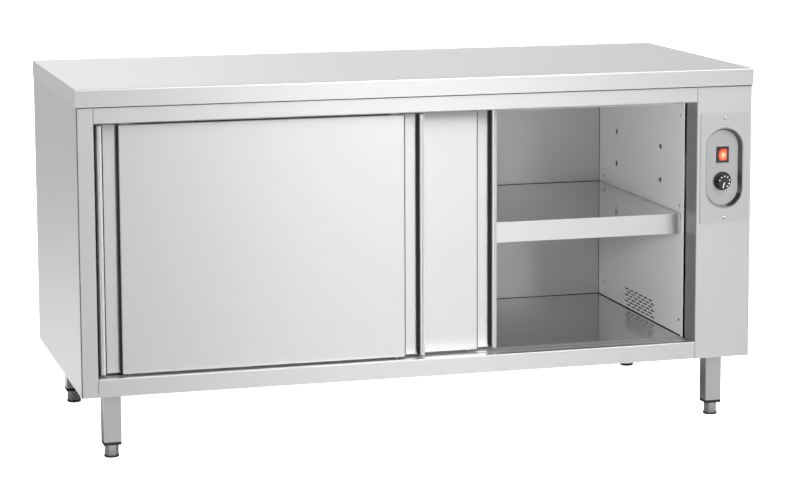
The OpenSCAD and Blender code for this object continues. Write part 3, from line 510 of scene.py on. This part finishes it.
def close_group(group, start, end, instances):
    """Every tree ends the same way: real meshes, one material."""
    real = add(group, "GeometryNodeRealizeInstances")
    paint = add(group, "GeometryNodeSetMaterial")
    group.links.new(instances, real.inputs["Geometry"])
    group.links.new(real.outputs["Geometry"], paint.inputs["Geometry"])
    group.links.new(start.outputs["Material"], paint.inputs["Material"])
    group.links.new(paint.outputs["Geometry"], end.inputs["Geometry"])


def run_group(name, group, body, slot, replaced=(), **values):
    """Evaluates a group once and returns the plain object, riding on its body."""
    host = bpy.data.objects.new(name + "_host", bpy.data.meshes.new(name + "_host"))
    bpy.context.collection.objects.link(host)
    modifier = host.modifiers.new(name, "NODES")
    modifier.node_group = group
    for item in group.interface.items_tree:
        if item.in_out == "INPUT" and item.name.replace(" ", "_") in values:
            modifier[item.identifier] = values[item.name.replace(" ", "_")]
    ready = host.evaluated_get(bpy.context.evaluated_depsgraph_get())
    mesh = bpy.data.meshes.new_from_object(ready)
    mesh.name = name
    host.modifiers.remove(modifier)
    bpy.data.objects.remove(host)
    piece = bpy.data.objects.new(name, mesh)
    bpy.context.collection.objects.link(piece)
    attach(piece, body)
    if replaced:
        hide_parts(*replaced)
    print(name, "rides on", body, "with", len(mesh.polygons), "faces")
    return piece


print("geometry helpers ready")

# %% [markdown]
# ## Fixings on the inner walls
#
# Four fixings hold each inner side wall, two by two: a domed head on a dark washer. A
# Mesh Grid with two rows gives their places, a squashed sphere is the dome, and Instance
# on Points puts one on the other. The grid lies flat and is then turned against the
# wall, so its X side becomes the height and its Y side stays the depth.

# %% Domed heads on a grid
def squashed_ball(group, start, segments, rings):
    """A unit sphere, and its size from the inputs Head Radius and Head Height."""
    ball = add(group, "GeometryNodeMeshUVSphere",
               {"Segments": segments, "Rings": rings, "Radius": 1.0})
    size = add(group, "ShaderNodeCombineXYZ")
    for axis, label in (("X", "Head Radius"), ("Y", "Head Radius"), ("Z", "Head Height")):
        group.links.new(start.outputs[label], size.inputs[axis])
    return ball.outputs["Mesh"], size.outputs["Vector"]


def domed_heads():
    group, start, end = new_group("domed_heads_on_a_grid", [
        ("Height", "Float", 0.08), ("Depth", "Float", 0.3),
        ("Columns", "Int", 2), ("Rows", "Int", 2),
        ("Head Radius", "Float", 0.004), ("Head Height", "Float", 0.002)] + PLACING)
    link = group.links.new
    grid = add(group, "GeometryNodeMeshGrid")
    link(start.outputs["Height"], grid.inputs["Size X"])
    link(start.outputs["Depth"], grid.inputs["Size Y"])
    link(start.outputs["Columns"], grid.inputs["Vertices X"])
    link(start.outputs["Rows"], grid.inputs["Vertices Y"])
    ball, size = squashed_ball(group, start, 20, 12)
    heads = add(group, "GeometryNodeInstanceOnPoints")
    link(grid.outputs["Mesh"], heads.inputs["Points"])
    link(ball, heads.inputs["Instance"])
    link(size, heads.inputs["Scale"])
    placed = put_in_place(group, start, heads.outputs["Instances"])
    close_group(group, start, end, placed)
    return group


heads_group = domed_heads()
quarter = math.pi / 2
wall_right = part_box("inner_wall_right")[0][0]
wall_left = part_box("inner_wall_left")[1][0]
fixings_height, fixings_depth = 0.082, 0.308
fixings_y, fixings_z = 0.031, 0.590
layers = (("washers", 0.0066, 0.0010, black_rubber, "black_rubber"),
          ("heads", 0.0040, 0.0026, zinc_plate, "zinc_steel"))
for side, x, turn in (("right", wall_right, -quarter), ("left", wall_left, quarter)):
    for part, radius, height, finish, slot in layers:
        run_group("fixing_%s_%s" % (part, side), heads_group, "cabinet", slot,
                  Height=fixings_height, Depth=fixings_depth, Columns=2, Rows=2,
                  Head_Radius=radius, Head_Height=height,
                  Place=(x, fixings_y, fixings_z), Turn=(0, turn, 0), Material=finish)

# %% [markdown]
# ## Dark beads along the joints
#
# Thin dark beads run along joints of the lining and of the body. The bead down the
# front left corner and the one under the worktop's front edge are painted shade: the
# dark line that the corner fold mirrors, and the shadow under the worktop's overhang.
# A bead is a line with a small round section, so Curve to Mesh sweeps a circle along
# it. The circle is let into the corner and only its front shows.

# %% Beads along the joints
def sealed_bead():
    group, start, end = new_group("sealed_bead", [
        ("From", "Vector", (0, 0, 0)), ("To", "Vector", (1, 0, 0)),
        ("Radius", "Float", 0.001)])
    link = group.links.new
    line = add(group, "GeometryNodeCurvePrimitiveLine")
    link(start.outputs["From"], line.inputs["Start"])
    link(start.outputs["To"], line.inputs["End"])
    section = add(group, "GeometryNodeCurvePrimitiveCircle", {"Resolution": 12})
    link(start.outputs["Radius"], section.inputs["Radius"])
    swept = add(group, "GeometryNodeCurveToMesh", {"Fill Caps": True})
    link(line.outputs["Curve"], swept.inputs["Curve"])
    link(section.outputs["Curve"], swept.inputs["Profile Curve"])
    close_group(group, start, end, swept.outputs["Mesh"])
    return group


bead_group = sealed_bead()
deck_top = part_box("deck")[1][2]
wall_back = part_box("inner_wall_back")[0][1]
body_left, body_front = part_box("side_panel_left")[0][0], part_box("front_stile")[0][1]
let_in = 0.0005                         # the deck beads are sunk this far
corner_in = 0.0013                      # and the bead of the front corner this far
deck_front = -0.262                     # 3 mm behind the bottom track
corner_ends = (0.1505, 0.7995)          # 0.5 mm inside the ends of the stile
under_top_half, under_top_z = 0.797, 0.7990     # 1 mm short of the body's ends
lining_top = 0.749                      # 1 mm under the ceiling
right_in, left_in, back_in = wall_right - let_in, wall_left + let_in, wall_back - let_in
corner_x, corner_y = body_left + corner_in, body_front + corner_in
joints = {
    "deck_back": ((wall_left, back_in, deck_top), (wall_right, back_in, deck_top), 0.0012),
    "deck_right": ((right_in, deck_front, deck_top), (right_in, wall_back, deck_top), 0.0020),
    "deck_left": ((left_in, deck_front, deck_top), (left_in, wall_back, deck_top), 0.0020),
    # painted shade: the dark line that the front left corner fold mirrors
    "front_corner": ((corner_x, corner_y, corner_ends[0]),
                     (corner_x, corner_y, corner_ends[1]), 0.0016),
    # painted shadow under the worktop's overhang
    "under_top": ((-under_top_half, body_front, under_top_z),
                  (under_top_half, body_front, under_top_z), 0.0016),
    "back_right": ((wall_right, wall_back, deck_top), (wall_right, wall_back, lining_top), 0.0011),
    "back_left": ((wall_left, wall_back, deck_top), (wall_left, wall_back, lining_top), 0.0011),
}
for joint, (first, last, radius) in joints.items():
    run_group("bead_" + joint, bead_group, "cabinet", "black_rubber",
              From=first, To=last, Radius=radius, Material=black_rubber)
print("beads on the cabinet:", len(joints))

# %% [markdown]
# One more dark bead runs along the rear edge of the shelf. It rides on the shelf and
# lifts off with it.

# %% Bead on the shelf
shelf_low, shelf_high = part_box("shelf")
shelf_rear = shelf_high[1] - 0.0006
end_gap = 0.001
run_group("bead_shelf_rear", bead_group, "shelf", "black_rubber",
          From=(shelf_low[0] + end_gap, shelf_rear, shelf_high[2]),
          To=(shelf_high[0] - end_gap, shelf_rear, shelf_high[2]),
          Radius=0.0009, Material=black_rubber)

# %% [markdown]
# A fine dark line runs round the sharp edge of the pressed dish: painted shade along
# the fold of its rim. Its outline is a rectangle with fully rounded ends. Fillet Curve
# rounds it, and the same sweep of a small circle draws the line round the dish.

# %% Edge line of the dish
def rounded_outline():
    group, start, end = new_group("rounded_outline", [
        ("Width", "Float", 0.093), ("Length", "Float", 0.193),
        ("Radius", "Float", 0.0006)] + PLACING)
    link = group.links.new
    frame_curve = add(group, "GeometryNodeCurvePrimitiveQuadrilateral")
    link(start.outputs["Width"], frame_curve.inputs["Width"])
    link(start.outputs["Length"], frame_curve.inputs["Height"])
    # A hair less than half the width, so a tiny straight piece is left between fillets
    half_width = add(group, "ShaderNodeMath", {1: 0.4999}, operation="MULTIPLY")
    link(start.outputs["Width"], half_width.inputs[0])
    rounded = add(group, "GeometryNodeFilletCurve", {"Count": 24}, mode="POLY")
    link(frame_curve.outputs["Curve"], rounded.inputs["Curve"])
    link(half_width.outputs["Value"], rounded.inputs["Radius"])
    section = add(group, "GeometryNodeCurvePrimitiveCircle", {"Resolution": 8})
    link(start.outputs["Radius"], section.inputs["Radius"])
    swept = add(group, "GeometryNodeCurveToMesh")
    link(rounded.outputs["Curve"], swept.inputs["Curve"])
    link(section.outputs["Curve"], swept.inputs["Profile Curve"])
    placed = put_in_place(group, start, swept.outputs["Mesh"])
    close_group(group, start, end, placed)
    return group


plate_low, plate_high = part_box("control_plate")
plate_x, plate_z = (plate_low[0] + plate_high[0]) / 2, (plate_low[2] + plate_high[2]) / 2
edge_sunk = 0.0004
run_group("dish_edge", rounded_outline(), "cabinet", "steel", Radius=0.0007,
          Place=(plate_x, plate_low[1] + edge_sunk, plate_z),
          Turn=(quarter, 0, 0), Material=dish_wall_shade)

# %% [markdown]
# ## Cross-recessed screws
#
# Two pan-head screws hold the control plate. A flattened sphere makes the head and a
# thin cylinder the shank. Two crossing boxes are cut out of the head with a Mesh
# Boolean, which gives the cross that a screwdriver needs. Mesh Line places the pair.

# %% Plate screws
def crossed_head(group, start):
    """A pan head with two crossing slots cut into it."""
    link = group.links.new
    ball, size = squashed_ball(group, start, 32, 16)
    flat = add(group, "GeometryNodeTransform")
    link(ball, flat.inputs["Geometry"])
    link(size, flat.inputs["Scale"])
    cut = add(group, "GeometryNodeMeshBoolean", operation="DIFFERENCE")
    link(flat.outputs["Geometry"], cut.inputs["Mesh 1"])
    slot_long, slot_wide, slot_deep, slot_up = 0.0042, 0.0009, 0.0022, 0.0021
    for sides in ((slot_long, slot_wide, slot_deep), (slot_wide, slot_long, slot_deep)):
        arm = add(group, "GeometryNodeMeshCube", {"Size": sides})
        lifted = add(group, "GeometryNodeTransform", {"Translation": (0, 0, slot_up)})
        link(arm.outputs["Mesh"], lifted.inputs["Geometry"])
        link(lifted.outputs["Geometry"], cut.inputs["Mesh 2"])
    return cut.outputs["Mesh"]


def pan_head_screws():
    group, start, end = new_group("pan_head_screws", [
        ("Spacing", "Float", 0.237), ("Head Radius", "Float", 0.004),
        ("Head Height", "Float", 0.0022), ("Shank Radius", "Float", 0.002),
        ("Shank Length", "Float", 0.008)] + PLACING)
    link = group.links.new
    head = crossed_head(group, start)
    shank = add(group, "GeometryNodeMeshCylinder", {"Vertices": 24})
    link(start.outputs["Shank Radius"], shank.inputs["Radius"])
    link(start.outputs["Shank Length"], shank.inputs["Depth"])
    sunk = add(group, "GeometryNodeTransform", {"Translation": (0, 0, -0.004)})
    link(shank.outputs["Mesh"], sunk.inputs["Geometry"])
    screw = add(group, "GeometryNodeJoinGeometry")
    link(sunk.outputs["Geometry"], screw.inputs["Geometry"])
    link(head, screw.inputs["Geometry"])
    row = add(group, "GeometryNodeMeshLine", {"Count": 2}, mode="OFFSET")
    step = add(group, "ShaderNodeCombineXYZ")
    link(start.outputs["Spacing"], step.inputs["Y"])
    link(step.outputs["Vector"], row.inputs["Offset"])
    pair = add(group, "GeometryNodeInstanceOnPoints")
    link(row.outputs["Mesh"], pair.inputs["Points"])
    link(screw.outputs["Geometry"], pair.inputs["Instance"])
    placed = put_in_place(group, start, pair.outputs["Instances"])
    close_group(group, start, end, placed)
    return group


screws_low, screws_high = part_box("plate_screws")
plate_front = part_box("control_plate")[0][1]
middle_x = (screws_low[0] + screws_high[0]) / 2
head_radius = (screws_high[0] - screws_low[0]) / 2
screw_row = screws_high[2] - screws_low[2] - 2 * head_radius
run_group("plate_cross_screws", pan_head_screws(), "cabinet", "zinc_steel",
          replaced=["plate_screws"], Spacing=screw_row, Head_Radius=head_radius,
          Place=(middle_x, plate_front, screws_low[2] + head_radius),
          Turn=(quarter, 0, 0), Material=zinc_plate)

# %% [markdown]
# ## Marks on the knob
#
# Seven white dots and a white line are printed on the knob's face, and they turn with
# it. The dots follow an arc, so a Curve Arc is resampled to seven points and each gets
# a thin disc. They are plain marks, with no lettering.

# %% Dots on an arc
def dots_on_arc():
    group, start, end = new_group("dots_on_an_arc", [
        ("Count", "Int", 7), ("Arc Radius", "Float", 0.0128), ("Start Angle", "Float", 0.0),
        ("Sweep Angle", "Float", 3.9), ("Dot Radius", "Float", 0.0011),
        ("Dot Height", "Float", 0.0002)] + PLACING)
    link = group.links.new
    arc = add(group, "GeometryNodeCurveArc", {"Resolution": 96})
    link(start.outputs["Arc Radius"], arc.inputs["Radius"])
    link(start.outputs["Start Angle"], arc.inputs["Start Angle"])
    link(start.outputs["Sweep Angle"], arc.inputs["Sweep Angle"])
    points = add(group, "GeometryNodeResampleCurve")
    link(arc.outputs["Curve"], points.inputs["Curve"])
    link(start.outputs["Count"], points.inputs["Count"])
    dot = add(group, "GeometryNodeMeshCylinder", {"Vertices": 20})
    link(start.outputs["Dot Radius"], dot.inputs["Radius"])
    link(start.outputs["Dot Height"], dot.inputs["Depth"])
    ring = add(group, "GeometryNodeInstanceOnPoints")
    link(points.outputs["Curve"], ring.inputs["Points"])
    link(dot.outputs["Mesh"], ring.inputs["Instance"])
    placed = put_in_place(group, start, ring.outputs["Instances"])
    close_group(group, start, end, placed)
    return group


knob_low, knob_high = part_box("control_knob")
knob_x, knob_z = (knob_low[0] + knob_high[0]) / 2, (knob_low[2] + knob_high[2]) / 2
knob_face = knob_low[1]
run_group("knob_dots", dots_on_arc(), "knob", "nylon",
          Start_Angle=math.radians(-60), Sweep_Angle=math.radians(225),
          Place=(knob_x, knob_face, knob_z), Turn=(quarter, 0, 0), Material=white_ink)

# %% [markdown]
# The pointer line is a slim bar with rounded ends, drawn as an outline and given a
# hair of thickness. Its ends are half circles of eight steps.

# %% Pointer line
def rounded_bar(name, centre, face_y, angle, near, far, half_width, thick, material, body):
    """A flat bar with round ends, on a face that looks along -Y."""
    outline = []
    end_steps = 8
    for end_at, base_angle in ((far, -math.pi / 2), (near, math.pi / 2)):
        for step in range(end_steps + 1):
            a = base_angle + math.pi * step / end_steps
            outline.append((end_at + half_width * math.cos(a), half_width * math.sin(a)))
    turn_x, turn_z = math.cos(angle), math.sin(angle)
    mesh_build = bmesh.new()
    layers = []
    for y in (face_y + thick, face_y - thick):
        layers.append([mesh_build.verts.new((centre[0] + u * turn_x - v * turn_z, y,
                                             centre[1] + u * turn_z + v * turn_x))
                       for u, v in outline])
    mesh_build.faces.new(layers[0])
    mesh_build.faces.new(list(reversed(layers[1])))
    count = len(outline)
    for k in range(count):
        n = (k + 1) % count
        mesh_build.faces.new((layers[0][k], layers[1][k], layers[1][n], layers[0][n]))
    bmesh.ops.recalc_face_normals(mesh_build, faces=mesh_build.faces)
    mesh = bpy.data.meshes.new(name)
    mesh_build.to_mesh(mesh)
    mesh_build.free()
    mesh.materials.append(material)
    piece = bpy.data.objects.new(name, mesh)
    bpy.context.collection.objects.link(piece)
    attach(piece, body)
    return piece


rounded_bar("knob_pointer", (knob_x, knob_z), knob_face, angle=math.radians(-106),
            near=0.003, far=0.0155, half_width=0.0007, thick=0.0001,
            material=white_ink, body="knob")
print("knob face at y =", round(knob_face, 4))

# %% [markdown]
# ## Studio
#
# The floor is pale and glows, so it stays an even white. It is left out of mirror
# reflections. A dark card lies just above it under the cabinet and is seen in
# reflections alone: it stands for the shade that a cabinet has under itself.

# %% Floor and shade card
def flat_sheet(name, low, high, z, paint):
    """A flat sheet that looks up, between two corners."""
    mesh = bpy.data.meshes.new(name)
    corners = [(low[0], low[1], z), (high[0], low[1], z), (high[0], high[1], z),
               (low[0], high[1], z)]
    mesh.from_pydata(corners, [], [(0, 1, 2, 3)])
    mesh.materials.append(paint)
    sheet = bpy.data.objects.new(name, mesh)
    bpy.context.collection.objects.link(sheet)
    return sheet


floor_half = 30.0
floor_paint, _, floor_shader = new_finish("studio_paper", (0.93, 0.93, 0.93), 0.0, 0.9)
floor_shader.inputs["Emission Color"].default_value = (1, 1, 1, 1)
floor_shader.inputs["Emission Strength"].default_value = 1.0
floor = flat_sheet("studio_floor", (-floor_half, -floor_half), (floor_half, floor_half), 0,
                   floor_paint)
floor.visible_glossy = floor.visible_diffuse = False

card_paint = new_finish("shade_card", (0.10, 0.10, 0.10), 0.0, 0.9)[0]
card = flat_sheet("shade_card", (-0.93, -0.36), (0.85, 0.45), 0.0005, card_paint)
card.visible_camera = card.visible_diffuse = card.visible_shadow = False
print("on the stage:", floor.name, card.name)

# %% [markdown]
# ## What the steel mirrors
#
# For bare steel this matters more than the lamps. The world is white to the camera. To
# everything else it is a sum of soft patches, each with its own brightness: a strong
# narrow strip high in front, which draws the bright fall of light down the doors, and
# dimmer areas all round. The helpers build sums and products out of Math nodes.

# %% World helpers
world = bpy.data.worlds.new("studio_world")
bpy.context.scene.world = world
world.use_nodes = True
sky = world.node_tree
sky.nodes.clear()


def math_node(operation, first, second):
    """A Math node fed by two numbers or sockets."""
    node = add(sky, "ShaderNodeMath", operation=operation)
    for place, value in enumerate((first, second)):
        if isinstance(value, (int, float)):
            node.inputs[place].default_value = value
        else:
            sky.links.new(value, node.inputs[place])
    return node.outputs["Value"]


def ramp_between(value, low, high, at_low, at_high):
    """A smooth step between two brightnesses."""
    node = add(sky, "ShaderNodeMapRange", {"From Min": low, "From Max": high,
                                          "To Min": at_low, "To Max": at_high},
               interpolation_type="SMOOTHSTEP")
    sky.links.new(value, node.inputs["Value"])
    return node.outputs["Result"]


def product(*factors):
    """The product of any number of factors."""
    result = factors[0]
    for factor in factors[1:]:
        result = math_node("MULTIPLY", result, factor)
    return result


def rest_of(value):
    """One minus the value."""
    return math_node("SUBTRACT", 1.0, value)


def strip_at(centre, half_width):
    """1.0 at one sideways direction, fading to nothing on both sides of it."""
    away = math_node("ABSOLUTE", math_node("SUBTRACT", across, centre), 0.0)
    return ramp_between(away, 0.0, half_width, 1.0, 0.0)


print("world helpers ready")

# %% [markdown]
# A direction has three parts: `across` from left to right, `depth` from front to back,
# and `up`. Each zone below is a soft step along one of them.

# %% Zones of the world
compass = add(sky, "ShaderNodeTexCoord")
heading = add(sky, "ShaderNodeVectorMath", operation="NORMALIZE")
sky.links.new(compass.outputs["Generated"], heading.inputs[0])
parts = add(sky, "ShaderNodeSeparateXYZ")
sky.links.new(heading.outputs["Vector"], parts.inputs["Vector"])
across, depth, up = (parts.outputs[axis] for axis in ("X", "Y", "Z"))
ahead = ramp_between(depth, -0.3, 0.1, 1.0, 0.0)
behind = rest_of(ahead)
low = ramp_between(up, -0.05, 0.05, 1.0, 0.0)
upper = ramp_between(up, 0.22, 0.45, 0.0, 1.0)
level = rest_of(math_node("ADD", low, upper))
crown = ramp_between(up, 0.75, 0.92, 0.0, 1.0)
high = product(upper, rest_of(crown))
to_left = ramp_between(across, -0.1, 0.05, 1.0, 0.0)
to_right = rest_of(to_left)
lower_half = ramp_between(up, -0.22, -0.13, 1.0, 0.0)
print("zones ready, nodes so far:", len(sky.nodes))

# %% [markdown]
# Each patch is a name, a brightness and the zones that bound it.

# %% Patches of the world
patches = [
    ("low in front", 0.58, (ahead, low)),
    ("level in front", 0.60, (ahead, level)),
    ("high in front, far left", 0.5,
     (ahead, high, ramp_between(across, 0.08, 0.17, 1.0, 0.0))),
    ("high in front, soft strip", 29.0, (ahead, high, strip_at(0.262, 0.072))),
    ("high in front, far right", 4.8,
     (ahead, high, ramp_between(across, 0.35, 0.44, 0.0, 1.0))),
    ("overhead", 2.0, (crown,)),
    ("high behind", 1.2, (behind, high)),
    ("behind left, just below level", 0.70, (behind, to_left, low, rest_of(lower_half))),
    ("behind left, floor", 1.25, (behind, to_left, low, lower_half)),
    ("behind left, level", 1.2, (behind, to_left, level)),
    ("behind right, low", 0.8, (behind, to_right, low)),
    ("behind, level, near", 1.16,
     (behind, to_right, level, ramp_between(across, 0.14, 0.26, 1.0, 0.0))),
    ("behind, level, middle", 0.97, (behind, to_right, level, strip_at(0.26, 0.12))),
    ("behind, level, far", 0.82,
     (behind, to_right, level, ramp_between(across, 0.26, 0.38, 0.0, 1.0))),
]
total = 0.0
for place, strength, factors in patches:
    total = math_node("ADD", total, product(*factors, strength))
    print("%5.2f  %s" % (strength, place))

# %% [markdown]
# The sum lights the scene, plain white is what the camera sees, and the view transform
# is Standard, so that white stays white.

# %% World output
studio = add(sky, "ShaderNodeBackground")
sky.links.new(total, studio.inputs["Strength"])
white = add(sky, "ShaderNodeBackground", {"Color": (1, 1, 1, 1), "Strength": 1.0})
path = add(sky, "ShaderNodeLightPath")
either = add(sky, "ShaderNodeMixShader")
sky.links.new(path.outputs["Is Camera Ray"], either.inputs["Fac"])
sky.links.new(studio.outputs["Background"], either.inputs[1])
sky.links.new(white.outputs["Background"], either.inputs[2])
world_out = add(sky, "ShaderNodeOutputWorld")
sky.links.new(either.outputs["Shader"], world_out.inputs["Surface"])
bpy.context.scene.view_settings.view_transform = "Standard"
print("world nodes:", len(sky.nodes))

# %% [markdown]
# ## Soft boxes
#
# Three soft boxes finish the light. The big one hangs overhead, for the worktop. Two
# small ones stand in front and reach into the opening, one towards the right inner
# wall and one towards the back. They are left out of reflections, because the world
# already holds all that the steel should mirror.

# %% Soft boxes
def soft_box(name, place, aim, size, watts):
    data = bpy.data.lights.new(name, "AREA")
    data.shape = "RECTANGLE"
    data.size, data.size_y = size
    data.energy = watts
    lamp = bpy.data.objects.new(name, data)
    lamp.location = place
    lamp.rotation_euler = (Vector(aim) - Vector(place)).to_track_quat("-Z", "Y").to_euler()
    lamp.visible_glossy = False
    bpy.context.collection.objects.link(lamp)
    print("%-13s %d W" % (name, watts))


soft_box("overhead_box", (0.0, 0.5, 5.0), (0, 0.5, 0), (8, 8), 60)
soft_box("inner_fill", (-0.45, -1.5, 0.62), (0.655, 0.12, 0.38), (0.5, 0.5), 34)
soft_box("second_fill", (0.95, -1.6, 0.70), (-0.1, 0.30, 0.42), (0.6, 0.6), 26)
